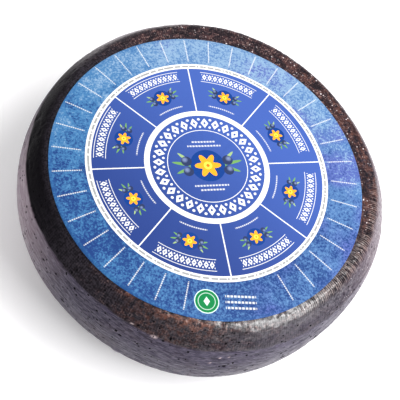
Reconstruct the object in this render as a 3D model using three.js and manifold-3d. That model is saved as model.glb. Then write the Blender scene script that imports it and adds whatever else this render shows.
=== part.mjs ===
import * as THREE from 'three';
import { mergeVertices } from 'three/addons/utils/BufferGeometryUtils.js';
import Module from 'manifold-3d';

// A whole, uncut wheel of semi-hard cheese with a dark brushed rind, lying on its base,
// and the round paper label on its upper face.
// Millimetres, +Z up. The origin is the middle of the base, and the label's upright
// direction is +Y.

const wasm = await Module();
wasm.setup();

// ---- Driving dimensions ----

const WHEEL_RADIUS = 130; // at the widest part of the bulged side
const WHEEL_HEIGHT = 90;
const BULGE_HEIGHT = 53.4; // height of the widest part
const BASE_FLAT_RADIUS = 100; // the flat that the wheel rests on
const TOP_FLAT_RADIUS = 112.5; // the flat under the label
const CREASE_RADIUS = 125.2; // soft edge left by the lid of the mould
const CREASE_HEIGHT = 76.3;

// How far the section's curves run straight on from each of those places, before they
// bend away: outwards or inwards first, then up.
const BASE_REACH = 20; // along the floor
const LOWER_REACH = 30.4; // down the side from the bulge
const UPPER_REACH = 7.6; // up the side from the bulge
const BELOW_CREASE = new THREE.Vector2(3, -7.4);
const ABOVE_CREASE = new THREE.Vector2(-3.6, 5.5);
const TOP_REACH = 4.3; // along the top

const LABEL_RADIUS = 107.6;
const LABEL_THICKNESS = 0.3;
const LABEL_GAP = 0.3;
const LABEL_CENTRE = new THREE.Vector2(-5.4, -4.6); // it was laid on a little off centre

// Slow waves round the outline: how many, how deep in millimetres, and where each peaks.
const OUTLINE_WAVES = [
  { count: 2, depth: 1.0, phase: 165 },
  { count: 3, depth: 0.45, phase: 271 },
  { count: 4, depth: 0.97, phase: 327 },
  { count: 5, depth: 0.4, phase: 257 },
];

// Small open pits in the side, scattered evenly, with two larger ones. The scatter takes
// the same step each time in azimuth, height and size, as a share of each one's range.
const PIT_COUNT = 30;
const PIT_LOWEST = 24;
const PIT_HIGHEST = 74;
const PIT_SMALLEST = 0.75;
const PIT_LARGEST = 1.25;
const PIT_STEP = { azimuth: 0.8191725, height: 0.6710436, size: 0.5497005 };
const LARGE_PITS = [
  { azimuth: -146, height: 44, radius: 1.7 },
  { azimuth: -77, height: 54.8, radius: 1.5 },
];

// A lump where the rind has gathered low on the side.
const LUMP = { azimuth: -125.5, height: 32, radius: 6, rise: 1 };

const WHEEL_SEGMENTS = 120;
const LOWER_STEPS = 9;
const UPPER_STEPS = 4;
const SHOULDER_STEPS = 6;
const LABEL_SEGMENTS = 80;
const LABEL_RINGS = [35, 70, 95, 103, 105.4, LABEL_RADIUS];

// ---- Materials ----

const rindMaterial = new THREE.MeshStandardMaterial({
  color: 0x3a3034,
  roughness: 0.45,
  metalness: 0,
});
const paperMaterial = new THREE.MeshStandardMaterial({
  color: 0x3f6fb8,
  roughness: 0.55,
  metalness: 0,
});

// ---- The wheel's outline in section ----

// From the middle of the base, out and up round the side, to the middle of the top.
// x is the radius and y the height.
function sectionPoints() {
  const bulge = new THREE.Vector2(WHEEL_RADIUS, BULGE_HEIGHT);
  const crease = new THREE.Vector2(CREASE_RADIUS, CREASE_HEIGHT);
  const lower = new THREE.CubicBezierCurve(
    new THREE.Vector2(BASE_FLAT_RADIUS, 0),
    new THREE.Vector2(BASE_FLAT_RADIUS + BASE_REACH, 0),
    new THREE.Vector2(WHEEL_RADIUS, BULGE_HEIGHT - LOWER_REACH),
    bulge,
  );
  const upper = new THREE.CubicBezierCurve(
    bulge,
    new THREE.Vector2(WHEEL_RADIUS, BULGE_HEIGHT + UPPER_REACH),
    crease.clone().add(BELOW_CREASE),
    crease,
  );
  const shoulder = new THREE.CubicBezierCurve(
    crease,
    crease.clone().add(ABOVE_CREASE),
    new THREE.Vector2(TOP_FLAT_RADIUS + TOP_REACH, WHEEL_HEIGHT),
    new THREE.Vector2(TOP_FLAT_RADIUS, WHEEL_HEIGHT),
  );
  return [
    new THREE.Vector2(0, 0),
    ...lower.getPoints(LOWER_STEPS),
    ...upper.getPoints(UPPER_STEPS).slice(1),
    ...shoulder.getPoints(SHOULDER_STEPS).slice(1),
    new THREE.Vector2(0, WHEEL_HEIGHT),
  ];
}

const SECTION = sectionPoints();

// How far the outline is out of round at an azimuth in radians, as a factor on the radius.
function outOfRound(azimuth) {
  const swell = OUTLINE_WAVES.reduce((sum, wave) => {
    const phase = THREE.MathUtils.degToRad(wave.phase);
    return sum + wave.depth * Math.cos(wave.count * azimuth - phase);
  }, 0);
  return 1 + swell / WHEEL_RADIUS;
}

// Reads one coordinate of the section where the other has a given value, between the
// first and last of some of its points.
function readSection(points, from, to, value) {
  const after = points.findIndex((point) => point[from] >= value);
  if (after <= 0) {
    return points[after === 0 ? 0 : points.length - 1][to];
  }
  const before = points[after - 1];
  const share = (value - before[from]) / (points[after][from] - before[from]);
  return THREE.MathUtils.lerp(before[to], points[after][to], share);
}

// Height of the top face and shoulder over a point in plan.
function topHeight(x, y) {
  const radius = Math.hypot(x, y) / outOfRound(Math.atan2(y, x));
  const inward = SECTION.slice(LOWER_STEPS + UPPER_STEPS + 1).reverse();
  return readSection(inward, 'x', 'y', radius);
}

// The point of the side at an azimuth in degrees and a height.
function sidePoint(azimuthDegrees, height) {
  const azimuth = THREE.MathUtils.degToRad(azimuthDegrees);
  const radius = readSection(SECTION.slice(1, -1), 'y', 'x', height) * outOfRound(azimuth);
  return new THREE.Vector3(
    radius * Math.cos(azimuth),
    radius * Math.sin(azimuth),
    height,
  );
}

// ---- Solids to geometry and back ----

function toSolid(geometry) {
  const bare = geometry.clone();
  bare.deleteAttribute('normal');
  bare.deleteAttribute('uv');
  const merged = mergeVertices(bare, 1e-4);
  return new wasm.Manifold(
    new wasm.Mesh({
      numProp: 3,
      vertProperties: new Float32Array(merged.attributes.position.array),
      triVerts: new Uint32Array(merged.index.array),
    }),
  );
}

function toGeometry(solid) {
  const mesh = solid.getMesh();
  const geometry = new THREE.BufferGeometry();
  geometry.setAttribute('position', new THREE.BufferAttribute(mesh.vertProperties, 3));
  geometry.setIndex(new THREE.BufferAttribute(mesh.triVerts, 1));
  geometry.computeVertexNormals();
  return geometry;
}

// ---- The cheese ----

// The section turned about the axis, then pushed out of round.
function wheelBody() {
  const geometry = new THREE.LatheGeometry(SECTION, WHEEL_SEGMENTS);
  geometry.rotateX(Math.PI / 2);
  const position = geometry.attributes.position;
  for (let i = 0; i < position.count; i += 1) {
    const x = position.getX(i);
    const y = position.getY(i);
    const factor = outOfRound(Math.atan2(y, x));
    position.setXY(i, x * factor, y * factor);
  }
  return toSolid(geometry);
}

// One pit: a small ball sunk half way into the side.
function pit({ azimuth, height, radius }) {
  const centre = sidePoint(azimuth, height);
  const ball = new THREE.IcosahedronGeometry(radius, 1);
  ball.translate(centre.x, centre.y, centre.z);
  return toSolid(ball);
}

function smallPits() {
  const { lerp } = THREE.MathUtils;
  return Array.from({ length: PIT_COUNT }, (_, i) => ({
    azimuth: 360 * ((i * PIT_STEP.azimuth) % 1),
    height: lerp(PIT_LOWEST, PIT_HIGHEST, (i * PIT_STEP.height) % 1),
    radius: lerp(PIT_SMALLEST, PIT_LARGEST, (i * PIT_STEP.size) % 1),
  }));
}

// The lump: a flattened ball, half sunk, that stands out of the side by its rise.
function lump({ azimuth, height, radius, rise }) {
  const middle = sidePoint(azimuth, height);
  const ball = new THREE.IcosahedronGeometry(radius, 2);
  ball.scale(rise / radius, 1, 1);
  ball.rotateZ(THREE.MathUtils.degToRad(azimuth));
  ball.translate(middle.x, middle.y, middle.z);
  return toSolid(ball);
}

function cheeseWheel() {
  const body = [...smallPits(), ...LARGE_PITS].reduce(
    (solid, place) => solid.subtract(pit(place)),
    wheelBody().add(lump(LUMP)),
  );
  const mesh = new THREE.Mesh(toGeometry(body), rindMaterial);
  mesh.name = 'cheese_wheel';
  return mesh;
}

// ---- The label ----

// A thin paper disc that follows the top face, and bends down a little where its
// off-centre edge reaches the shoulder.
function label() {
  const section = [
    new THREE.Vector2(0, 0),
    ...LABEL_RINGS.map((radius) => new THREE.Vector2(radius, 0)),
    ...LABEL_RINGS.toReversed().map((radius) => new THREE.Vector2(radius, LABEL_THICKNESS)),
    new THREE.Vector2(0, LABEL_THICKNESS),
  ];
  const geometry = new THREE.LatheGeometry(section, LABEL_SEGMENTS);
  geometry.rotateX(Math.PI / 2);
  geometry.translate(LABEL_CENTRE.x, LABEL_CENTRE.y, LABEL_GAP);
  const position = geometry.attributes.position;
  for (let i = 0; i < position.count; i += 1) {
    const under = topHeight(position.getX(i), position.getY(i));
    position.setZ(i, position.getZ(i) + under);
  }
  const mesh = new THREE.Mesh(toGeometry(toSolid(geometry)), paperMaterial);
  mesh.name = 'label';
  return mesh;
}

const wheel = new THREE.Group();
wheel.add(cheeseWheel(), label());

export default wheel;
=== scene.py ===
"""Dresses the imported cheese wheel: a dark brushed rind and a round paper label.

Everything is in metres in the part's own frame. The wheel lies on its base, +Z is up,
and the label's upright direction is +Y.
"""

import math

import bpy
import numpy as np
from bpy.props import FloatProperty, FloatVectorProperty, IntProperty, PointerProperty
from mathutils import Matrix


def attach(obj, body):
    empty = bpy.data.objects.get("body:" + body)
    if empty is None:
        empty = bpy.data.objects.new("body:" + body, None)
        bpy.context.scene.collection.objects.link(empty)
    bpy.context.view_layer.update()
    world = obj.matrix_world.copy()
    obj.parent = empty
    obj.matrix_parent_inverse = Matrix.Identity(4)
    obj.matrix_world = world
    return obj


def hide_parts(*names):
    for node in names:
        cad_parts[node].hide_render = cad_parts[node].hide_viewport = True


bl_info = {
    "name": "Cheese Wheel",
    "version": (1, 0, 0),
    "blender": (4, 5, 0),
    "location": "View3D > Sidebar > Cheese Wheel",
    "description": "Builds the rind, the label and the studio of a whole cheese wheel",
    "category": "Object",
}

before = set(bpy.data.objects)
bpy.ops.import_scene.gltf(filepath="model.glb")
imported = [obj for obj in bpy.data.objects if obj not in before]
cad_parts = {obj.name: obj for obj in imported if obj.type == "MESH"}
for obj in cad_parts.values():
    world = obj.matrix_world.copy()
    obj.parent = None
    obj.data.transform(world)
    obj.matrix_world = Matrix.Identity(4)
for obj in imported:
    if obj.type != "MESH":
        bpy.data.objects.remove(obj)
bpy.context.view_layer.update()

MM = 0.001
METRE = 1000  # in millimetres, which the finishes use

WHEEL_RADIUS = 130 * MM

# How far the section's curves run straight on before they bend away.
BASE_REACH = 20 * MM
LOWER_REACH = 30.4 * MM
UPPER_REACH = 7.6 * MM
TOP_REACH = 4.3 * MM
BELOW_CREASE = np.array((3, -7.4)) * MM
ABOVE_CREASE = np.array((-3.6, 5.5)) * MM

# How finely the section is drawn, and how many points go round each piece.
LOWER_POINTS = 90
UPPER_POINTS = 40
SHOULDER_POINTS = 40
FINE_STEPS = 6000
RIND_COLUMNS = 720
LABEL_COLUMNS = 320

# Slow waves round the outline: how many, how deep in metres, and where each peaks.
OUTLINE_WAVES = (
    (2, 1.0 * MM, math.radians(165)),
    (3, 0.45 * MM, math.radians(271)),
    (4, 0.97 * MM, math.radians(327)),
    (5, 0.4 * MM, math.radians(257)),
)

# The scattered pits: azimuth, height and radius each take the same step every time, as a
# share of the way from their least to their most.
PIT_COUNT = 30
PIT_STEPS = (0.8191725, 0.6710436, 0.5497005)
PIT_LEAST = np.array((0, 24 * MM, 0.75 * MM))
PIT_MOST = np.array((math.tau, 74 * MM, 1.25 * MM))

# Marks in their own places: azimuth, height and radius, and for the lump how far it rises.
LARGE_PITS = (
    (math.radians(-146), 44 * MM, 1.7 * MM),
    (math.radians(-77), 54.8 * MM, 1.5 * MM),
)
LUMP = (math.radians(-125.5), 32 * MM, 6 * MM, 1 * MM)

# Pale flecks where the crust has chipped.
FLECKS = (
    (math.radians(-117.7), 74.5 * MM, 2.0 * MM),
    (math.radians(-124.8), 76.2 * MM, 1.0 * MM),
    (math.radians(-100.1), 62.7 * MM, 0.9 * MM),
    (math.radians(-98.0), 69.1 * MM, 0.9 * MM),
    (math.radians(-95.5), 69.8 * MM, 0.8 * MM),
)

# The cloth's print on the rind: ridges round the wheel, and millimetres between its rows.
RIDGE_COUNT = 468
ROW_PITCH = 1.7

# The label's print, in millimetres from the middle of the paper.
HUB_MIDDLE = (-2.26, 1.82)
RING_MIDDLE = (-0.72, 1.43)
SEAL_MIDDLE = (-21.2, -93.2)
SEAL_TILT = math.radians(-7)
WREATH_RADIUS = 33.5
WREATH_COUNT = 28
FLOWER_RADIUS = 58.6
BAND_RADIUS = 72.5

# The lights: where each one hangs, and its width and height. They all face one place.
LIGHTS = {
    "key": ((0.65, -0.72, 0.9), (0.75, 1.2)),
    "top": ((0.75, -0.1, 1.5), (0.7, 0.7)),
    "fill": ((-0.25, 0.75, 1.6), (1.6, 1.6)),
    "rim": ((0.3, 1.3, 0.75), (1.2, 0.6)),
}
LIGHT_AIM = (0, 0, 0.05)

# The camera: which ways are right, up and back for it, and its place.
CAMERA = (
    (0.952959, -0.176739, 0.246246),
    (0.043143, 0.883227, 0.466957),
    (-0.300022, -0.434368, 0.849300),
    (-0.179633, -0.262316, 0.548045),
)


def shade(red, green, blue):
    """A colour picked on screen, 0 to 255, as Blender's linear red, green and blue."""
    screen = np.array((red, green, blue)) / 255
    linear = np.where(screen <= 0.04045, screen / 12.92, ((screen + 0.055) / 1.055) ** 2.4)
    return tuple(float(part) for part in linear)


def number(name, description, default, **kind):
    """A number of 0 or more."""
    return FloatProperty(name=name, description=description, default=default, min=0, **kind)


def length(name, description, default):
    """A size in metres."""
    return number(name, description, default, precision=4, subtype="DISTANCE", unit="LENGTH")


def power(name, description, default):
    """A light's power in watts."""
    return number(name, description, default, unit="POWER")


def colour(name, description, default):
    """A colour, given as it looks on screen."""
    return FloatVectorProperty(
        name=name, description=description, default=shade(*default), min=0, max=1, subtype="COLOR"
    )


# ---- Settings ----


class CHEESE_PG_rind(bpy.types.PropertyGroup):
    """Sizes and colours of the cheese and its rind."""

    radius: length("Radius", "Half the width at the widest part of the side", WHEEL_RADIUS)
    height: length("Height", "From the base to the upper face", 90 * MM)
    bulge_height: length("Bulge height", "Height of the widest part", 53.4 * MM)
    base_flat: length("Base flat", "Radius of the flat that it rests on", 100 * MM)
    top_flat: length("Top flat", "Radius of the flat under the label", 112.5 * MM)
    crease_radius: length("Crease radius", "Radius of the soft edge of the shoulder", 125.2 * MM)
    crease_height: length("Crease height", "Height of the soft edge of the shoulder", 76.3 * MM)
    seed: IntProperty(name="Seed", description="Changes the rind's random relief", default=7)
    crust: colour("Crust", "The black of the shoulder", (34, 31, 36))
    blush: colour("Blush", "Reddish brown mottling near the label", (64, 45, 47))
    rust: colour("Rust", "The brownest part beside the label", (102, 67, 56))
    speck: colour("Speck", "Worn specks on the high places near the label", (152, 118, 109))
    side: colour("Side", "The dusty mauve of the side wall", (62, 57, 74))
    bloom: colour("Bloom", "Pale dust on the high places of the side", (89, 80, 101))
    # Rose is a painted reflection on the side at the left and right, and along the shoulder's
    # edge.
    rose_reflection: colour("Rose", "The rosy painted reflection at the left and right", (144, 121, 135))
    # Pore is painted shade: inside pits and pores, in the comb's grooves, and black at the left.
    pore: colour("Pore", "Inside the pits and pores, and the blackest crust", (15, 13, 17))


class CHEESE_PG_label(bpy.types.PropertyGroup):
    """Sizes and colours of the round paper label."""

    radius: length("Radius", "Half the width of the label", 107.6 * MM)
    thickness: length("Thickness", "Thickness of the paper", 0.3 * MM)
    gap: length("Gap", "Space under the paper, away from its stuck edge", 0.3 * MM)
    centre: FloatVectorProperty(
        name="Centre",
        description="Where the middle of the label lies on the wheel",
        default=(-5.4 * MM, -4.6 * MM),
        size=2,
        subtype="XYZ_LENGTH",
        unit="LENGTH",
    )
    white: colour("White", "Bare paper in the rings and rules", (226, 226, 224))
    # Field dark and field light are the ends of painted light and shade across the panels.
    field_light: colour("Field, light", "Blue of the panels, upper right", (60, 88, 162))
    field_dark: colour("Field, dark", "Blue of the panels, lower left", (35, 57, 120))
    wash_light: colour("Wash, light", "Lightest blue of the mottled ring", (128, 157, 186))
    wash_sky: colour("Wash, sky", "Clear blue of the mottled ring", (76, 114, 162))
    wash_cyan: colour("Wash, cyan", "Greener blue at the left of the ring", (62, 114, 160))
    wash_violet: colour("Wash, violet", "Violet blue of the mottled ring", (78, 94, 160))
    wash_dark: colour("Wash, dark", "Darkest blue of the mottled ring", (24, 56, 114))
    rim: colour("Rim", "Plain border of the mottled ring", (46, 98, 150))
    disc: colour("Disc", "The dark disc behind each flower", (5, 54, 126))
    seal: colour("Seal", "The round green seal near the edge", (4, 118, 62))
    petal: colour("Petal", "Amber flowers", (244, 160, 34))
    leaf: colour("Leaf", "Green leaves", (104, 150, 84))
    dot: colour("Dot", "Dark blue dots beside the flowers", (38, 50, 86))


class CHEESE_PG_stage(bpy.types.PropertyGroup):
    """The floor and the light."""

    floor_size: length("Floor size", "Length of each side of the floor", 30.0)
    floor_colour: colour("Floor colour", "A plain pale floor", (236, 235, 236))
    glow: number("Glow", "Strength of the light from below", 0.25)
    key: power("Key", "The softbox at the right", 18)
    top: power("Top", "The softbox high up at the right", 17)
    fill: power("Fill", "The broad light above and behind", 3)
    rim: power("Rim", "The low light behind", 4)
    ambient: number("Ambient", "Strength of the light all round", 0.5)


# ---- Shape: the wheel's outline ----


def cubic(corners, count):
    """Points on a cubic curve: its four corners weighed by (1-t)^3, 3t(1-t)^2, 3t^2(1-t), t^3."""
    t = np.linspace(0, 1, count)[:, None]
    weights = np.hstack([(1 - t) ** 3, 3 * t * (1 - t) ** 2, 3 * t**2 * (1 - t), t**3])
    return weights @ np.array(corners)


def outline(settings):
    """Radius and height of the section, from the middle of the base to the middle of the top.

    Three cubic curves follow one another between the base flat and the top flat: the lower
    side, the upper side to the crease, and the shoulder.
    """
    radius, bulge = settings.radius, settings.bulge_height
    crease = np.array((settings.crease_radius, settings.crease_height))
    base, top, height = settings.base_flat, settings.top_flat, settings.height
    widest = (radius, bulge)
    lower = ((base, 0), (base + BASE_REACH, 0), (radius, bulge - LOWER_REACH), widest)
    upper = (widest, (radius, bulge + UPPER_REACH), crease + BELOW_CREASE, crease)
    shoulder = (crease, crease + ABOVE_CREASE, (top + TOP_REACH, height), (top, height))
    return np.concatenate(
        [
            [(0, 0)],
            cubic(lower, LOWER_POINTS),
            cubic(upper, UPPER_POINTS)[1:],
            cubic(shoulder, SHOULDER_POINTS)[1:],
            [(0, height)],
        ]
    )


def out_of_round(azimuth):
    """Factor on the radius at an azimuth: one, plus the sum of the outline's cosine waves."""
    swell = sum(depth * np.cos(count * azimuth - phase) for count, depth, phase in OUTLINE_WAVES)
    return 1 + swell / WHEEL_RADIUS


def round_the_axis(radius, azimuth, height):
    """Points at radius*cos(azimuth), radius*sin(azimuth) and a height."""
    return np.stack(
        [radius * np.cos(azimuth), radius * np.sin(azimuth), height + 0 * azimuth], axis=-1
    )


def side_place(section, azimuth, height):
    """The point of the side at an azimuth and a height."""
    side = section[1:-1]
    radius = np.interp(height, side[:, 1], side[:, 0]) * out_of_round(azimuth)
    return round_the_axis(radius, azimuth, height)


def top_height(section, x, y):
    """Height of the upper face and shoulder over a point in plan."""
    shoulder = section[-SHOULDER_POINTS:][::-1]
    radius = np.hypot(x, y) / out_of_round(np.arctan2(y, x))
    return np.interp(radius, shoulder[:, 0], shoulder[:, 1])


# ---- Shape: relief ----


def waves(azimuth, along, shortest, longest, stretch, count, rng):
    """A field of random waves of unit size that closes on itself round the wheel.

    It is the sum of count cosines of n*azimuth + m*along + phase. Each has a random
    wavelength and direction, and n is a whole number. Stretch makes the waves longer
    round the wheel than up its side.
    """
    wavelength = np.exp(rng.uniform(np.log(shortest), np.log(longest), count))
    heading = rng.uniform(0, 2 * np.pi, count)
    phase = rng.uniform(0, 2 * np.pi, count)
    turns = np.round(2 * np.pi / wavelength * np.cos(heading) * WHEEL_RADIUS / stretch)
    rise = 2 * np.pi / wavelength * np.sin(heading)
    total = np.zeros(np.broadcast(azimuth, along).shape)
    for n, m, p in zip(turns, rise, phase):
        total += np.cos(n * azimuth + m * along + p)
    return total / math.sqrt(count / 2)


def gate(value, start, end):
    """Rises smoothly from 0 at start to 1 at end."""
    t = np.clip((value - start) / (end - start), 0, 1)
    return t * t * (3 - 2 * t)


def pit_places():
    """Azimuth, height and radius of every pit, one pit in each row."""
    share = np.outer(np.arange(PIT_COUNT), PIT_STEPS) % 1
    return np.concatenate([PIT_LEAST + (PIT_MOST - PIT_LEAST) * share, LARGE_PITS])


def rows_along(section):
    """Places of the grid's rows, as distances along the section from its base flat's edge.

    The rows lie closest where the side and the shoulder show their relief: the number of
    rows per metre is added up along the section, and read back at even steps. It also
    gives each row's radius and height, and where the upper flat begins.
    """
    step = np.linalg.norm(np.diff(section, axis=0), axis=1)
    distance = np.concatenate([[0], np.cumsum(step)])
    foot, head, last = distance[1], distance[-2], distance[-1]
    knots = np.array([0, 80, 0, 25, 32, 0, 12, 30, 0]) * MM
    knots += (0, 0, foot, foot, foot, head, head, head, last)
    spacing = np.array([14, 9, 2.4, 1.5, 0.92, 0.92, 1.2, 9, 14]) * MM
    fine = np.linspace(0, last, FINE_STEPS)
    widths = np.interp(fine, knots, spacing)
    rows = np.concatenate([[0], np.cumsum(np.diff(fine) / widths[1:])])
    places = np.interp(np.linspace(0, rows[-1], int(rows[-1]) + 1), rows, fine)[1:-1]
    radius = np.interp(places, distance, section[:, 0])
    height = np.interp(places, distance, section[:, 1])
    return places - foot, radius, height, head - foot


def rind_relief(azimuth, along, head, rng):
    """How far the rind stands in from its even outline, in metres, and never out of it.

    Broad and middling waves everywhere, long brush strokes round the side, a hammered
    surface on the shoulder, a soft groove at the crease that wanders a little, and
    scattered shallow dents. The base flat has less of it all.
    """
    crease = head - 18.6 * MM + 0.9 * MM * waves(azimuth, 0 * along, 0.09, 0.3, 1, 10, rng)
    off_base = gate(along, 4 * MM, 16 * MM)
    on_side = off_base * (1 - gate(along, head - 22 * MM, head - 15 * MM))
    on_shoulder = gate(along, head - 18 * MM, head - 9 * MM)
    relief = 0.16 * MM * waves(azimuth, along, 0.03, 0.09, 1.2, 40, rng)
    relief += 0.11 * MM * waves(azimuth, along, 0.008, 0.024, 1.4, 60, rng)
    relief += 0.13 * MM * waves(azimuth, along, 0.0024, 0.005, 5, 70, rng) * on_side
    relief += 0.035 * MM * waves(azimuth, along, 0.0028, 0.006, 1.2, 70, rng)
    relief += 0.08 * MM * waves(azimuth, along, 0.003, 0.007, 1, 70, rng) * on_shoulder
    relief -= 0.28 * MM * np.exp(-(((along - crease) / (1.3 * MM)) ** 2))
    dents = gate(waves(azimuth, along, 0.006, 0.015, 1.3, 50, rng), 1.1, 2.3)
    relief -= 0.42 * MM * dents * off_base
    return np.minimum(relief - 0.12 * MM, -0.03 * MM) * np.where(along < 0, 0.4, 1)


# ---- Shape: the pieces ----


def closed_faces(rows, columns):
    """Faces of a closed shell: a grid of rows that each close on themselves, and two poles.

    The poles' numbers follow those of the grid's points. A fan of triangles joins each pole
    to the first row or the last.
    """
    here = np.arange(columns)
    beside = (here + 1) % columns
    row = np.arange(rows - 1)[:, None] * columns
    corners = [row + here, row + beside, row + columns + beside, row + columns + here]
    quads = np.stack(corners, axis=-1).reshape(-1, 4)
    pole = np.full(columns, rows * columns)
    end = (rows - 1) * columns
    fans = [(pole, beside, here), (pole + 1, end + here, end + beside)]
    return quads, np.concatenate([np.stack(fan, axis=-1) for fan in fans])


def make_piece(name, rings, poles, fields, material):
    """A smooth closed mesh object from rings of points and two poles, with number fields."""
    points = np.concatenate([rings.reshape(-1, 3), poles])
    quads, triangles = closed_faces(*rings.shape[:2])
    mesh = bpy.data.meshes.new(name)
    mesh.vertices.add(len(points))
    mesh.vertices.foreach_set("co", points.astype(np.float32).ravel())
    corners = np.concatenate([quads.ravel(), triangles.ravel()]).astype(np.int32)
    starts = np.concatenate(
        [4 * np.arange(len(quads)), 4 * len(quads) + 3 * np.arange(len(triangles))]
    ).astype(np.int32)
    mesh.loops.add(len(corners))
    mesh.loops.foreach_set("vertex_index", corners)
    mesh.polygons.add(len(starts))
    mesh.polygons.foreach_set("loop_start", starts)
    mesh.update(calc_edges=True)
    if mesh.validate():
        raise RuntimeError(f"{name}: the mesh had faults")
    mesh.polygons.foreach_set("use_smooth", np.ones(len(starts), bool))
    for field, values in fields.items():
        attribute = mesh.attributes.new(field, "FLOAT", "POINT")
        attribute.data.foreach_set("value", values.astype(np.float32).ravel())
    mesh.materials.append(material)
    piece = bpy.data.objects.new(name, mesh)
    bpy.context.scene.collection.objects.link(piece)
    return piece


def reach_from(points, section, place, size, squash=1.0):
    """Distance of every point from a place on the side, in units of size.

    The place is an azimuth and a height, and squash makes heights count for more.
    """
    centre = side_place(section, *place)
    return np.linalg.norm((points - centre) * (1, 1, squash), axis=-1) / size


def build_rind(settings):
    """The wheel: its section turned about the axis, pushed out of round and given relief.

    A point is radius(along)*factor(azimuth) out and height(along) up, moved along the
    section's normal by the relief. The pits sink into it and the lump stands out of it.
    """
    rng = np.random.default_rng(settings.seed)
    section = outline(settings)
    along, radius, height, head = rows_along(section)
    azimuth = np.linspace(-np.pi, np.pi, RIND_COLUMNS, endpoint=False)[None, :]
    along, radius, height = along[:, None], radius[:, None], height[:, None]
    slope_r, slope_z = np.gradient(radius, axis=0), np.gradient(height, axis=0)
    slope = np.hypot(slope_r, slope_z)
    factor = out_of_round(azimuth)
    relief = rind_relief(azimuth, along, head, rng)
    even = round_the_axis(radius * factor, azimuth, height)
    hollow = np.zeros(relief.shape)
    for *place, size in pit_places():
        reach = reach_from(even, section, place, size)
        relief -= 1.15 * size * np.clip(1.1 - reach**2, 0, 1)
        hollow = np.maximum(hollow, np.clip(1.7 - 1.1 * reach, 0, 1))
    chipped = np.zeros(relief.shape)
    for *place, size in FLECKS:
        reach = reach_from(even, section, place, size, 1.8)
        chipped = np.maximum(chipped, np.clip(1.3 - reach, 0, 1))
    *place, size, rise = LUMP
    reach = reach_from(even, section, place, size)
    relief += (rise + 0.1 * MM) * gate(1 - reach, 0, 0.75)
    moved = (radius + relief * slope_z / slope) * factor
    rings = round_the_axis(moved, azimuth, np.maximum(height - relief * slope_r / slope, 0))
    poles = [(0, 0, 0.1 * MM), (0, 0, settings.height - 0.3 * MM)]
    fields = {
        "along": np.append(along + 0 * azimuth, (along[0], along[-1])),
        "hollow": np.append(hollow, (0, 0)),
        "fleck": np.append(chipped, (0, 0)),
    }
    return make_piece("rind", rings, poles, fields, rind_finish(settings, head / MM))


def build_label(settings, rind_settings):
    """The paper disc, laid over the upper face: rings of points out to the edge and back.

    The upper and lower skins share their plan. Each point's height is the cheese's height
    under it, plus a gap that closes towards the edge, plus the thickness for the upper one.
    """
    rng = np.random.default_rng(rind_settings.seed + 1)
    section = outline(rind_settings)
    edge = settings.radius
    inner = np.linspace(0.03, 0.95, 26) * edge
    outer = edge - np.array([5, 4.2, 3.4, 2.6, 1.9, 1.3, 0.8, 0.4, 0.15, 0]) * MM
    ring = np.concatenate([inner, outer[outer > inner[-1]]])[:, None]
    azimuth = np.linspace(-np.pi, np.pi, LABEL_COLUMNS, endpoint=False)[None, :]
    x = settings.centre[0] + ring * np.cos(azimuth)
    y = settings.centre[1] + ring * np.sin(azimuth)
    under = top_height(section, x, y)
    stuck = gate(ring, edge - 7 * MM, edge)
    cockle = 0.03 * MM * waves(azimuth, ring, 0.02, 0.06, 1, 30, rng) - 0.06 * MM
    lift = settings.gap * (1 - 0.95 * stuck) + np.minimum(cockle, 0) * (1 - stuck)
    lower = np.stack([x, y, under + lift], axis=-1)
    thick = settings.thickness * (1 - 0.35 * gate(ring, edge - 1 * MM, edge))
    upper = np.stack([x, y, under + lift + thick], axis=-1)
    floor = rind_settings.height + settings.gap
    ceiling = floor + settings.thickness - 0.06 * MM
    poles = [(*settings.centre, floor), (*settings.centre, ceiling)]
    rings = np.concatenate([lower, upper[::-1]])
    return make_piece("paper_label", rings, poles, {}, label_finish(settings))


# ---- Finishes: nodes ----


class Value:
    """A number that varies over a surface. It wraps the socket that the number comes from,
    and arithmetic on it adds the Math nodes that work it out."""

    def __init__(self, finish, socket):
        self.finish = finish
        self.socket = socket

    def math(self, operation, *operands, clamp=False):
        """The number that a Math node makes of the operands."""
        names = ("Value", "Value_001", "Value_002")
        settings = {"operation": operation, "use_clamp": clamp}
        node = self.finish.node("ShaderNodeMath", settings, dict(zip(names, operands)))
        return Value(self.finish, node.outputs[0])

    def __add__(self, other):
        return self.math("ADD", self, other)

    def __radd__(self, other):
        return self.math("ADD", other, self)

    def __sub__(self, other):
        return self.math("SUBTRACT", self, other)

    def __rsub__(self, other):
        return self.math("SUBTRACT", other, self)

    def __mul__(self, other):
        return self.math("MULTIPLY", self, other)

    def __rmul__(self, other):
        return self.math("MULTIPLY", other, self)

    def __truediv__(self, other):
        return self.math("DIVIDE", self, other)

    def __mod__(self, other):
        return self.math("FLOORED_MODULO", self, other)

    def __neg__(self):
        return self.math("MULTIPLY", self, -1)

    def __abs__(self):
        return self.math("ABSOLUTE", self)

    def __or__(self, other):
        return self.math("MAXIMUM", self, other)

    def sine(self):
        return self.math("SINE", self)

    def cosine(self):
        return self.math("COSINE", self)

    def root(self):
        return self.math("SQRT", self)

    def angle(self, across):
        """Angle of the direction whose parts are across and this number, from -pi to pi."""
        return self.math("ARCTAN2", self, across)

    def clamped(self):
        return self.math("ADD", self, 0, clamp=True)

    def rising(self, start, end):
        """0 below start, 1 above end, and smooth between them."""
        inputs = {"Value": self, "From Min": start, "From Max": end}
        node = self.finish.node("ShaderNodeMapRange", {"interpolation_type": "SMOOTHSTEP"}, inputs)
        return Value(self.finish, node.outputs["Result"])

    def below(self, edge, softness=0.12):
        """1 where the number is under edge, 0 where it is over."""
        scale = -1 / softness
        return self.math("MULTIPLY_ADD", self, scale, 0.5 - edge * scale, clamp=True)


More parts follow.
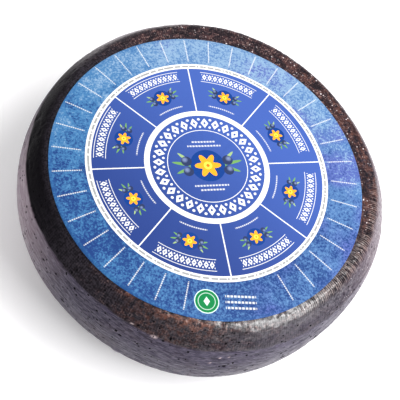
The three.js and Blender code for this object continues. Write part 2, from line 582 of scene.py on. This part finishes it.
class Finish:
    """The nodes of one material."""

    def __init__(self, name):
        self.material = bpy.data.materials.new(name)
        self.material.use_nodes = True
        self.tree = self.material.node_tree
        self.tree.nodes.clear()

    def node(self, kind, settings, inputs):
        """Adds a node: its settings first, then the values or links of its sockets."""
        node = self.tree.nodes.new(kind)
        for name, setting in settings.items():
            setattr(node, name, setting)
        sockets = {socket.identifier: socket for socket in node.inputs}
        for name, given in inputs.items():
            given = given.socket if isinstance(given, Value) else given
            if isinstance(given, bpy.types.NodeSocket):
                self.tree.links.new(given, sockets[name])
            else:
                sockets[name].default_value = given
        return node

    def place(self, move=(0, 0, 0)):
        """The object's own coordinates in millimetres, moved."""
        source = self.node("ShaderNodeTexCoord", {}, {}).outputs["Object"]
        inputs = {"Vector": source, "Location": move, "Scale": (METRE, METRE, METRE)}
        return self.node("ShaderNodeMapping", {}, inputs).outputs["Vector"]

    def split(self, vector):
        """The three numbers of a vector."""
        node = self.node("ShaderNodeSeparateXYZ", {}, {"Vector": vector})
        return [Value(self, socket) for socket in node.outputs]

    def join(self, x, y, z):
        """A vector from three numbers."""
        return self.node("ShaderNodeCombineXYZ", {}, {"X": x, "Y": y, "Z": z}).outputs[0]

    def field(self, name):
        """A number field of the mesh."""
        settings = {"attribute_type": "GEOMETRY", "attribute_name": name}
        return Value(self, self.node("ShaderNodeAttribute", settings, {}).outputs["Fac"])

    def noise(self, vector, scale, detail=2.0, roughness=0.5, distortion=0.0):
        """Cloudy noise from 0 to 1, about 0.5 on average. Scale is in waves per millimetre."""
        inputs = {"Vector": vector, "Scale": scale, "Detail": detail, "Roughness": roughness}
        inputs["Distortion"] = distortion
        node = self.node("ShaderNodeTexNoise", {"noise_dimensions": "3D"}, inputs)
        return Value(self, node.outputs["Fac"])

    def holes(self, vector, scale, radius, share):
        """Mask of round holes scattered in space, in a share of the noise's cells.

        Scale is in cells per millimetre, and the radius in millimetres.
        """
        inputs = {"Vector": vector, "Scale": scale, "Randomness": 1.0}
        node = self.node("ShaderNodeTexVoronoi", {"feature": "F1"}, inputs)
        chance = self.node("ShaderNodeSeparateColor", {}, {"Color": node.outputs["Color"]})
        kept = Value(self, chance.outputs[0]).rising(0.97 - share, 1.03 - share)
        size = Value(self, chance.outputs[1]) * 0.5 + 0.6
        reach = Value(self, node.outputs["Distance"]) / size
        return reach.below(radius * scale, 0.07) * kept

    def blend(self, factor, under, over):
        """A colour from under to over as factor goes from 0 to 1."""
        inputs = {"Factor_Float": factor}
        for name, tone in (("A_Color", under), ("B_Color", over)):
            inputs[name] = tone if isinstance(tone, bpy.types.NodeSocket) else (*tone, 1)
        node = self.node("ShaderNodeMix", {"data_type": "RGBA"}, inputs)
        return next(out for out in node.outputs if out.identifier == "Result_Color")

    def layers(self, under, *coats):
        """Colours laid over one another, each coat given as its mask and its colour."""
        for mask, over in coats:
            under = self.blend(mask, under, over)
        return under

    def bump(self, height, strength, distance):
        """A normal tilted by a height in units of distance."""
        inputs = {"Height": height, "Strength": strength, "Distance": distance}
        return self.node("ShaderNodeBump", {}, inputs).outputs["Normal"]

    def surface(self, varying, **constant):
        """The shader: sockets that vary take links, and the others plain numbers."""
        inputs = {**varying, **{name.replace("_", " "): v for name, v in constant.items()}}
        shader = self.node("ShaderNodeBsdfPrincipled", {}, inputs)
        self.node("ShaderNodeOutputMaterial", {}, {"Surface": shader.outputs["BSDF"]})
        return self.material


def distance(x, y):
    """How far a place in a plane is from the origin."""
    return (x * x + y * y).root()


class Polar:
    """A place seen from a middle: how far across and up it is, its distance and its angle."""

    def __init__(self, x, y, middle):
        self.across, self.up = x - middle[0], y - middle[1]
        self.out = distance(self.across, self.up)
        self.turn = self.up.angle(self.across)


def deeper(base, factor):
    """A darker tone of a colour."""
    return tuple(part * factor for part in base)


# ---- Finishes: the rind ----


class RindMaps:
    """What varies over the rind: noises, bands and marks, as numbers over its surface.

    Along is the distance up the section from the base flat's edge, and end is where the
    upper flat begins, both in millimetres.
    """

    def __init__(self, finish, end):
        self.finish = finish
        self.end = end
        self.place = finish.place()
        self.x, self.y, _ = finish.split(self.place)
        self.turn = self.y.angle(self.x)
        self.along = finish.field("along") * METRE
        self.fleck = finish.field("fleck")
        self.add_noises()
        self.add_bands()
        self.add_marks()

    def facing(self, degrees, start, full):
        """1 on the part that faces an azimuth, and 0 on the far side.

        Start and full are cosines of the angle from that azimuth.
        """
        return (self.turn - math.radians(degrees)).cosine().rising(start, full)

    def past_end(self, start, full):
        """Rises from 0 to 1 between two distances past the end. Short of it they are negative."""
        return self.along.rising(self.end + start, self.end + full)

    def stretched(self, around, up, detail, roughness, distortion):
        """Noise with one scale round the wheel and another up it, in waves per millimetre."""
        vector = self.finish.join(self.x * around, self.y * around, self.along * up)
        return self.finish.noise(vector, 1.0, detail, roughness, distortion)

    def add_noises(self):
        """Brush strokes, hairs, clouds, mottling and grain, rays that point outwards, and the
        print of a cloth: ridges that run outwards, crossed by rows."""
        finish, place = self.finish, self.place
        self.stroke = self.stretched(0.13, 0.62, 2.0, 0.5, 0.4)
        self.hair = self.stretched(0.28, 1.5, 3.0, 0.6, 0.4)
        self.patchy = self.stretched(0.09, 0.2, 3.0, 0.6, 0.6).rising(0.43, 0.55)
        self.cloud = finish.noise(place, 0.035, 3.0, 0.55)
        self.mottle = finish.noise(place, 0.24, 4.0, 0.68, 0.6)
        self.grain = finish.noise(place, 0.6, 3.0, 0.7)
        taller = finish.join(self.x, self.y, self.along * 1.2)
        self.hammer = finish.noise(taller, 0.36, 3.0, 0.62, 0.9)
        out = distance(self.x, self.y)
        outward = finish.join(self.x / out * 85, self.y / out * 85, out * 0.12)
        self.ray = finish.noise(outward, 1.0, 2.0, 0.5, 0.2)
        wobble = (self.hammer - 0.5) * 5
        self.ridge = (self.turn * RIDGE_COUNT + wobble).sine()
        row = (self.along * (math.tau / ROW_PITCH) + wobble).sine()
        self.cloth = (self.ridge * 0.6 + row * 0.4) * 0.5 + 0.5

    def add_bands(self):
        """The shoulder, and the ways that the rind's parts face."""
        wander = (self.cloud - 0.5) * 4
        self.shoulder = (self.along + wander).rising(self.end - 22, self.end - 19.5)
        self.near_label = self.past_end(-9, -1)
        self.low = 1 - self.past_end(-58, -28)
        self.waxed = self.facing(-77, 0.55, 1.0)
        self.polished = self.facing(-79, 0.945, 0.998)
        self.dusty = self.facing(-38, 0.3, 0.95)
        self.warm = self.facing(-10, -0.85, -0.4)
        # Painted shade: black on the shoulder facing left, less so beside the label.
        self.black = self.facing(172, 0.75, 1.02) * (1 - self.past_end(-8, -1) * 0.75)
        # Left and right: where the side takes a painted rosy reflection; both also raise the wax.
        self.left = abs(self.turn).rising(math.radians(142), math.radians(184))
        self.right = self.facing(2, 0.5, 0.92)
        # Edge on: where the outer shoulder takes a painted pale reflection, and a waxier fringe.
        self.edge_on = self.facing(58, 0.1, 0.7) | self.right

    def add_marks(self):
        """Pores, worn, blushed and rusty patches, specks and glints, and combed lines."""
        holes, place = self.finish.holes, self.place
        near_label, patchy, mottle = self.near_label, self.patchy, self.mottle
        # Pits and pores are painted near black: painted shade inside the hollows.
        pore = holes(place, 0.19, 0.9, 0.5) * (1 - self.shoulder * 0.7)
        pore = pore | holes(place, 0.27, 0.75, 0.5) * (1 - near_label)
        self.pore = pore | self.finish.field("hollow").rising(0.2, 0.8)
        worn = self.hammer * 0.45 + self.grain * 0.45 + self.cloth * 0.1
        self.worn = worn.rising(0.42, 0.58)
        blushed = mottle.rising(0.38, 0.6) * (0.35 + 0.65 * near_label) * self.warm
        self.blushed = blushed * (1 - self.dusty * 0.65) * (0.15 + 0.85 * patchy)
        rusty = self.facing(-116, 0.94, 0.995) * (0.2 + 0.8 * self.past_end(-12, -1))
        rusty = rusty | self.right * (0.08 + 0.4 * near_label)
        self.rusty = rusty * mottle.rising(0.4, 0.6) * (0.3 + 0.7 * patchy)
        speck = (self.grain * 0.9 + self.cloth * 0.1).rising(0.53, 0.64)
        speck = speck * (0.3 + 0.7 * near_label) * self.warm
        spared = (1 - self.dusty * 0.5) * (0.2 + 0.8 * patchy)
        self.speck = speck * spared | speck * self.rusty * 1.5
        glint = holes(place, 0.42, 0.5, 0.4) * self.facing(25, -0.1, 0.6)
        self.glint = glint * (0.3 + 0.7 * patchy)
        combed = self.past_end(-7, -3) * (1 - self.past_end(1, 5))
        self.combed = combed * self.facing(-42, 0.8, 0.97) * mottle.rising(0.2, 0.45)
        self.comb = self.ridge * 0.2 + 0.28 + self.ray.rising(0.35, 0.65) * 0.5
        # The gap is painted shade in the grooves between the comb's ridges.
        self.gap = self.combed * self.comb.below(0.42, 0.3)


def side_tone(maps, settings):
    """The side wall: strokes of dust, a painted rosy reflection strongest at the left, and a
    dark line of painted shade under the crease.
    """
    # Painted reflection: the side rosier towards the left, and less so at the right.
    rosy_reflection = (maps.left | maps.right * 0.45) * (maps.cloud * 0.8 + 0.4)
    wander = (maps.cloud - 0.5) * 3
    # Painted shade: a dark line along the groove under the crease.
    line = abs(maps.along - (maps.end - 18.4) + wander).below(0.9, 1.4)
    return maps.finish.layers(
        deeper(settings.side, 0.6),
        (maps.stroke.rising(0.38, 0.58), settings.side),
        (maps.hair.rising(0.48, 0.62) * 0.6, settings.bloom),
        (rosy_reflection, settings.rose_reflection),
        (maps.cloud.rising(0.5, 0.75) * 0.3, settings.blush),
        # Painted shade under the crease.
        (line * 0.6, shade(56, 38, 44)),
    )


def shoulder_tone(maps, settings):
    """The shoulder: black at the left from painted shade, and dusty lower down at the right.

    Reddish brown mottling, worn specks and combed lines are strongest beside the label. The
    combed lines have painted shade in their gaps and a painted highlight on their ridges.
    Where the shoulder is seen edge on, a pale painted reflection lies along its outer part.
    """
    near_label = maps.near_label
    dust = maps.dusty * (0.15 + 0.45 * (1 - near_label)) * (0.6 + 0.8 * maps.worn)
    bare = (1 - maps.patchy) * near_label * maps.warm
    # Painted reflection: a pale rosy band on the outer shoulder where it is seen edge on.
    edge_reflection = maps.edge_on * (1 - maps.past_end(-8, 0)) * (0.25 + 0.5 * maps.grain)
    return maps.finish.layers(
        deeper(settings.crust, 0.65),
        (maps.worn, deeper(settings.crust, 2.0)),
        # Painted shade: the shoulder turns black towards the left.
        (maps.black, settings.pore),
        (dust, deeper(settings.bloom, 0.45)),
        (bare * 0.6, deeper(settings.crust, 0.6)),
        (maps.blushed, settings.blush),
        (maps.rusty, settings.rust),
        (maps.speck * 0.6, settings.speck),
        (maps.glint * 0.9, shade(226, 214, 216)),
        # Painted shade in the comb's grooves.
        (maps.gap * 0.8, settings.pore),
        # Painted highlight on the comb's ridges.
        (maps.combed * maps.comb.rising(0.5, 0.75) * 0.35, shade(168, 148, 142)),
        (edge_reflection, deeper(settings.rose_reflection, 0.6)),
    )


def rind_wax(maps):
    """How waxy the rind is, from 0 to 1.

    The shoulder is waxed in rubbed patches at the front. The side has a dull sheen,
    stronger low down and at the left.
    """
    fine, left = maps.grain.rising, maps.left
    rubbed = 0.12 + 0.43 * maps.hammer.rising(0.38, 0.6) + 0.45 * fine(0.42, 0.6)
    rubbed = rubbed + (1 - rubbed) * maps.polished * 0.75 * (0.75 + maps.ridge * 0.25)
    wax = maps.waxed * rubbed * (0.4 + 0.6 * maps.past_end(-15, -5)) * (1 - maps.gap * 0.8)
    fringe = maps.edge_on * (1 - maps.past_end(-7, 1)) * (0.3 + 0.5 * fine(0.4, 0.6))
    wax = wax | maps.speck * 0.6 | maps.glint | fringe
    sheen = 0.1 + 0.25 * maps.hair.rising(0.4, 0.7) + left * 0.35 + maps.right * 0.2
    sheen = sheen + maps.facing(-58, 0.68, 1.0) * 0.21 + maps.low * (0.13 + 0.37 * left)
    sheen = sheen * (0.7 + 0.5 * maps.stroke.rising(0.4, 0.6))
    wax = maps.shoulder * wax + (1 - maps.shoulder) * sheen
    return (wax * (1 - maps.pore)).clamped()


def rind_finish(settings, end):
    """Dark brushed rind: near black and mottled on the shoulder, dusty mauve on the side.

    The coat is the wax, and the bump adds the finest strokes, grain and pores.
    """
    finish = Finish("rind")
    maps = RindMaps(finish, end)
    shoulder, grain, pore = maps.shoulder, maps.grain, maps.pore
    tone = finish.layers(
        side_tone(maps, settings),
        (shoulder, shoulder_tone(maps, settings)),
        (maps.fleck, shade(196, 176, 178)),
        # Painted shade inside the pits and pores.
        (pore, settings.pore),
    )
    height = (maps.stroke * 0.34 + maps.hair * 0.12) * (1 - shoulder)
    height = height + maps.hammer * (0.2 + 0.2 * shoulder * maps.waxed) + grain * 0.16
    height = height + maps.comb * maps.combed * 0.25 - pore * 0.6 + maps.fleck * 0.3
    gloss = 0.36 + (grain - 0.5) * 0.2 + (1 - shoulder) * 0.1 + pore * 0.3
    varying = {
        "Base Color": tone,
        "Roughness": gloss.clamped(),
        "Normal": finish.bump(height, 1.0, MM),
        "Coat Weight": rind_wax(maps),
    }
    return finish.surface(varying, Specular_IOR_Level=0.01, Coat_Roughness=0.28, Coat_IOR=1.8)


# ---- Finishes: the label's print ----


def strip(across, up, half_width, half_height, soft=0.12):
    """Mask of a rectangle about the origin."""
    return abs(across).below(half_width, soft) * abs(up).below(half_height, soft)


def beads(across, up, half_width, half_height, pitch):
    """Mask of a rule of small marks about the origin."""
    mark = abs((across % pitch) - pitch / 2).below(pitch * 0.36, 0.25)
    return mark * strip(across, up, half_width, half_height, 0.3)


def lozenge_row(across, up, pitch, count, half_width, half_height):
    """Mask of a row of lozenges with small dots between them, above and below."""
    span = pitch * count / 2
    local = abs(((across + span) % pitch) - pitch / 2)
    reach = local / half_width + abs(up) / half_height
    lozenge = reach.below(1) - reach.below(0.34)
    dot = distance(pitch / 2 - local, abs(up) - half_height * 0.78)
    return (lozenge | dot.below(half_width * 0.34, 0.3)) * abs(across).below(span, 0.1)


def ornament(finish, under, across, up, scale, settings):
    """Paints a flower on a dark disc between dots and leaves, the same at left and right.

    The flower is a disc whose radius swells six times round it, and each leaf a long ellipse.
    """
    side, rise = abs(across) / scale, up / scale
    reach = distance(side, rise)
    soft = 0.12 / scale
    coats = []
    for angle, far, tone in (
        (0.75, 7.6, shade(150, 178, 120)),
        (0.2, 8.2, settings.leaf),
        (-0.38, 7.4, settings.leaf),
    ):
        c, s = math.cos(angle), math.sin(angle)
        away = side - 4.4
        length_way = (away * c + rise * s) / (far / 2) - 1
        width_way = (rise * c - away * s) / 0.62
        leaf = (length_way * length_way + width_way * width_way).below(1, 0.3)
        coats.append((leaf, tone))
    coats.append((reach.below(6.2, soft), settings.disc))
    for at, lift, radius in ((7.4, 1.9, 1.9), (7.2, -2.1, 1.8)):
        dx, dy = side - at, rise - lift
        shine = distance(dx - 0.5, dy - 0.6).below(0.8, 0.9)
        coats.append((distance(dx, dy).below(radius, soft), settings.dot))
        coats.append((shine * 0.8, shade(120, 136, 176)))
    petals = (rise.angle(side) * 6).cosine() * 1.1
    coats.append(((reach - petals).below(3.6, soft), settings.petal))
    coats.append((reach.below(1.5, soft), shade(252, 214, 74)))
    coats.append((reach.below(0.6, soft), shade(200, 110, 24)))
    return finish.layers(under, *coats)


def mottled_ring(finish, place, x, y, ring_turn, settings):
    """The outer ring's blues: broad patches, fine grain, and a plain border at the edge.

    It is lighter at the upper right, and darker at the left and the lower right.
    """
    patch = finish.noise(place, 0.045, 4.0, 0.62, 0.6) - 0.5
    blot = finish.noise(place, 0.16, 4.0, 0.65, 0.3) - 0.5
    grain = finish.noise(place, 0.7, 3.0, 0.75) - 0.5
    tint = finish.noise(place, 0.03, 2.0, 0.5)
    far_left = (x * -0.009).rising(-0.2, 0.8)
    tone = x * 0.0019 + y * 0.0036 + 0.47
    tone = tone - (ring_turn - math.radians(196)).cosine().rising(0.9, 1.0) * 0.2
    tone = tone - (ring_turn + math.radians(33)).cosine().rising(0.25, 1.0) * 0.16
    tone = tone + patch * (0.7 + far_left * 0.9) + blot * 0.9 + grain * 2.7
    violet = (tint + x * 0.0018).rising(0.56, 0.76)
    middle_tone = finish.layers(
        settings.wash_sky, (far_left, settings.wash_cyan), (violet, settings.wash_violet)
    )
    border = distance(x, y).rising(104.8, 105.8) * (0.2 - x * 0.002).clamped()
    return finish.layers(
        settings.wash_dark,
        (tone.rising(-0.2, 0.5), middle_tone),
        (tone.rising(0.5, 1.1), settings.wash_light),
        (border, settings.rim),
    )


def outer_ring(finish, place, x, y, ring, hub, settings):
    """The mottled ring, with a rule of small marks outwards every ten degrees but for three
    at the foot, where the seal is."""
    step = math.radians(10)
    spoke = ((ring.turn + step / 2) % step - step / 2) * ring.out
    spokes = beads(ring.out - 95.5, spoke, 9.4, 0.4, 1.45)
    foot_gap = abs(hub.turn + math.radians(90)).below(math.radians(15), 0.01)
    wash = mottled_ring(finish, place, x, y, ring.turn, settings)
    wash = finish.blend(spokes * (1 - foot_gap) * 0.7, wash, settings.white)
    return foot_marks(finish, wash, x, y, settings)


def foot_marks(finish, under, x, y, settings):
    """A round green seal with a pale rim, and three rules of small marks beside it."""
    foot_x, foot_y = x - SEAL_MIDDLE[0], y - SEAL_MIDDLE[1]
    c, s = math.cos(SEAL_TILT), math.sin(SEAL_TILT)
    across, up = foot_x * c + foot_y * s, foot_y * c - foot_x * s
    reach = distance(across, up)
    pale = shade(206, 226, 220)
    rules = beads(across - 22, up, 10, 0.7, 2.3)
    for lift in (-3.8, 3.8):
        rules = rules | beads(across - 22, up - lift, 10, 0.7, 2.3)
    return finish.layers(
        under,
        (reach.below(7.9), pale),
        (reach.below(7.3), settings.seal),
        (abs(reach - 5.4).below(0.25) * 0.7, pale),
        ((abs(across) / 2 + abs(up) / 3).below(1), pale),
        (rules * 0.72, settings.white),
    )


def panel_disc(finish, blue, hub, settings):
    """Eight panels, each with a band of lozenges along its outer edge, a flower, and a rule
    of small marks."""
    eighth = math.radians(45)
    folded = (hub.turn % eighth) - eighth / 2
    band, above_band = folded * BAND_RADIUS, hub.out - BAND_RADIUS
    rules = strip(band, abs(above_band) - 3.9, 20.4, 0.22)
    rules = rules | lozenge_row(band, above_band, 3.9, 10, 1.6, 2.6)
    rules = rules | beads(folded * 49, hub.out - 48.2, 9.5, 0.45, 1.5) * 0.8
    panels = finish.blend(rules * 0.92, blue, settings.white)
    across, outward = -(folded.sine() * hub.out), folded.cosine() * hub.out
    panels = ornament(finish, panels, across, outward - FLOWER_RADIUS, 1.0, settings)
    divider = abs((eighth / 2 - abs(folded)) * hub.out).below(0.42)
    return finish.blend(divider, panels, settings.white)


def hub_disc(finish, blue, hub, settings):
    """The hub: a wreath of lozenges round a larger flower, between short rules."""
    pitch = WREATH_RADIUS * math.tau / WREATH_COUNT
    wreath, above_wreath = hub.turn * WREATH_RADIUS, hub.out - WREATH_RADIUS
    marks = lozenge_row(wreath, above_wreath, pitch, WREATH_COUNT, 2.7, 3.9)
    marks = marks | abs(hub.out - 27.6).below(0.25)
    for lift in (15.2, 18.4):
        marks = marks | beads(hub.across, abs(hub.up) - lift, 27 - lift, 0.6, 2.1) * 0.75
    centre = finish.blend(marks, blue, settings.white)
    return ornament(finish, centre, hub.across, hub.up, 1.95, settings)


def label_finish(settings):
    """The printed paper: a mottled ring, a white ring, eight panels and a white-ringed hub.

    Every part is a field of colour or a simple shape, told apart by its distance and its
    angle from the middle.
    """
    finish = Finish("label_paper")
    place = finish.place([-part / MM for part in settings.centre] + [0])
    x, y, _ = finish.split(place)
    hub, ring = Polar(x, y, HUB_MIDDLE), Polar(x, y, RING_MIDDLE)
    # Painted light and shade: the panels lighter at the upper right and darker at the lower left.
    painted_light_slope = (x * 0.0065 + y * 0.0063 + 0.5).rising(-0.25, 1.05)
    blue = finish.blend(painted_light_slope, settings.field_dark, settings.field_light)
    broken = (ring.turn * 190).sine() + (ring.turn * 83).sine() * 0.9
    broken = (broken + (ring.turn * 29).sine() * 0.5).rising(-1.2, -0.6)
    line = broken * abs(ring.out - 81.45).below(0.7, 0.5)
    printed = finish.layers(
        panel_disc(finish, blue, hub, settings),
        (hub.out.below(41.4, 0.1), hub_disc(finish, blue, hub, settings)),
        (abs(hub.out - 41.43).below(1.88), settings.white),
        (1 - ring.out.below(79.5), settings.white),
        (line * 0.68, shade(74, 78, 88)),
        (1 - ring.out.below(83.5), outer_ring(finish, place, x, y, ring, hub, settings)),
    )
    fibre = finish.noise(place, 1.6, 3.0, 0.6)
    buckle = finish.noise(place, 0.05, 2.0, 0.5)
    gloss = 0.5 + (fibre - 0.5) * 0.12
    varying = {
        "Base Color": printed,
        "Roughness": gloss.clamped(),
        "Normal": finish.bump(fibre * 0.15 + buckle * 1.4, 0.5, 0.25 * MM),
    }
    return finish.surface(varying, Specular_IOR_Level=0.12)


# ---- The stage ----


def table_finish(settings):
    """A plain pale table that glows faintly, as one lit from below does."""
    tone = (*settings.floor_colour, 1)
    return Finish("floor").surface(
        {}, Base_Color=tone, Roughness=0.9, Emission_Color=tone, Emission_Strength=settings.glow
    )


def placed(right, up, back, place):
    """A matrix from three axes and a place."""
    matrix = np.eye(4)
    matrix[:3] = np.stack([right, up, back, place], axis=1)
    return Matrix(matrix.tolist())


def area_light(name, place, size, watts):
    """A soft rectangular light that looks from a place towards the wheel."""
    data = bpy.data.lights.new(name, "AREA")
    data.shape = "RECTANGLE"
    data.size, data.size_y = size
    data.energy = watts
    light = bpy.data.objects.new(name, data)
    back = np.subtract(place, LIGHT_AIM)
    back = back / np.linalg.norm(back)
    right = np.cross((0, 0, 1), back)
    right = right / np.linalg.norm(right)
    light.matrix_world = placed(right, np.cross(back, right), back, place)
    bpy.context.scene.collection.objects.link(light)


def build_stage(settings):
    """The pale floor, the lights, the surroundings and the camera."""
    scene = bpy.context.scene
    half = settings.floor_size / 2
    corners = [(-half, -half, 0), (half, -half, 0), (half, half, 0), (-half, half, 0)]
    mesh = bpy.data.meshes.new("floor")
    mesh.from_pydata(corners, [], [(0, 1, 2, 3)])
    mesh.materials.append(table_finish(settings))
    floor = bpy.data.objects.new("floor", mesh)
    scene.collection.objects.link(floor)

    for name, (place, size) in LIGHTS.items():
        area_light(name, place, size, getattr(settings, name))

    world = bpy.data.worlds.new("surroundings")
    world.use_nodes = True
    background = world.node_tree.nodes["Background"]
    background.inputs["Color"].default_value = (1, 1, 1, 1)
    background.inputs["Strength"].default_value = settings.ambient
    scene.world = world
    scene.view_settings.view_transform = "Standard"
    scene.view_settings.look = "None"

    data = bpy.data.cameras.new("camera")
    data.sensor_width = 36
    data.lens = 74.7
    data.clip_start = 0.01
    camera = bpy.data.objects.new("camera", data)
    camera.matrix_world = placed(*CAMERA)
    scene.collection.objects.link(camera)
    scene.camera = camera


# ---- Operators ----


class CHEESE_OT_rind(bpy.types.Operator):
    """Build the cheese wheel and its rind"""

    bl_idname = "cheese.rind"
    bl_label = "Rind"

    def execute(self, context):
        piece = build_rind(context.scene.cheese_rind)
        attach(piece, "root")
        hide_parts("cheese_wheel")
        return {"FINISHED"}


class CHEESE_OT_label(bpy.types.Operator):
    """Lay the printed paper label on the wheel"""

    bl_idname = "cheese.label"
    bl_label = "Label"

    def execute(self, context):
        piece = build_label(context.scene.cheese_label, context.scene.cheese_rind)
        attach(piece, "root")
        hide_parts("label")
        return {"FINISHED"}


class CHEESE_OT_stage(bpy.types.Operator):
    """Set up the floor, the lights and the camera"""

    bl_idname = "cheese.stage"
    bl_label = "Stage"

    def execute(self, context):
        build_stage(context.scene.cheese_stage)
        return {"FINISHED"}


class CHEESE_PT_panel(bpy.types.Panel):
    """Lists the wheel's settings and the steps that build it."""

    bl_idname = "CHEESE_PT_panel"
    bl_label = "Cheese Wheel"
    bl_space_type = "VIEW_3D"
    bl_region_type = "UI"
    bl_category = "Cheese Wheel"

    def draw(self, context):
        for step in ("rind", "label", "stage"):
            box = self.layout.box()
            settings = getattr(context.scene, "cheese_" + step)
            for name in settings.__annotations__:
                box.prop(settings, name)
            box.operator("cheese." + step)


CLASSES = (
    CHEESE_PG_rind,
    CHEESE_PG_label,
    CHEESE_PG_stage,
    CHEESE_OT_rind,
    CHEESE_OT_label,
    CHEESE_OT_stage,
    CHEESE_PT_panel,
)


def register():
    for cls in CLASSES:
        bpy.utils.register_class(cls)
    bpy.types.Scene.cheese_rind = PointerProperty(type=CHEESE_PG_rind)
    bpy.types.Scene.cheese_label = PointerProperty(type=CHEESE_PG_label)
    bpy.types.Scene.cheese_stage = PointerProperty(type=CHEESE_PG_stage)


def unregister():
    del bpy.types.Scene.cheese_stage
    del bpy.types.Scene.cheese_label
    del bpy.types.Scene.cheese_rind
    for cls in reversed(CLASSES):
        bpy.utils.unregister_class(cls)


def main():
    register()
    bpy.ops.cheese.rind()
    bpy.ops.cheese.label()
    bpy.ops.cheese.stage()


if __name__ == "__main__":
    main()
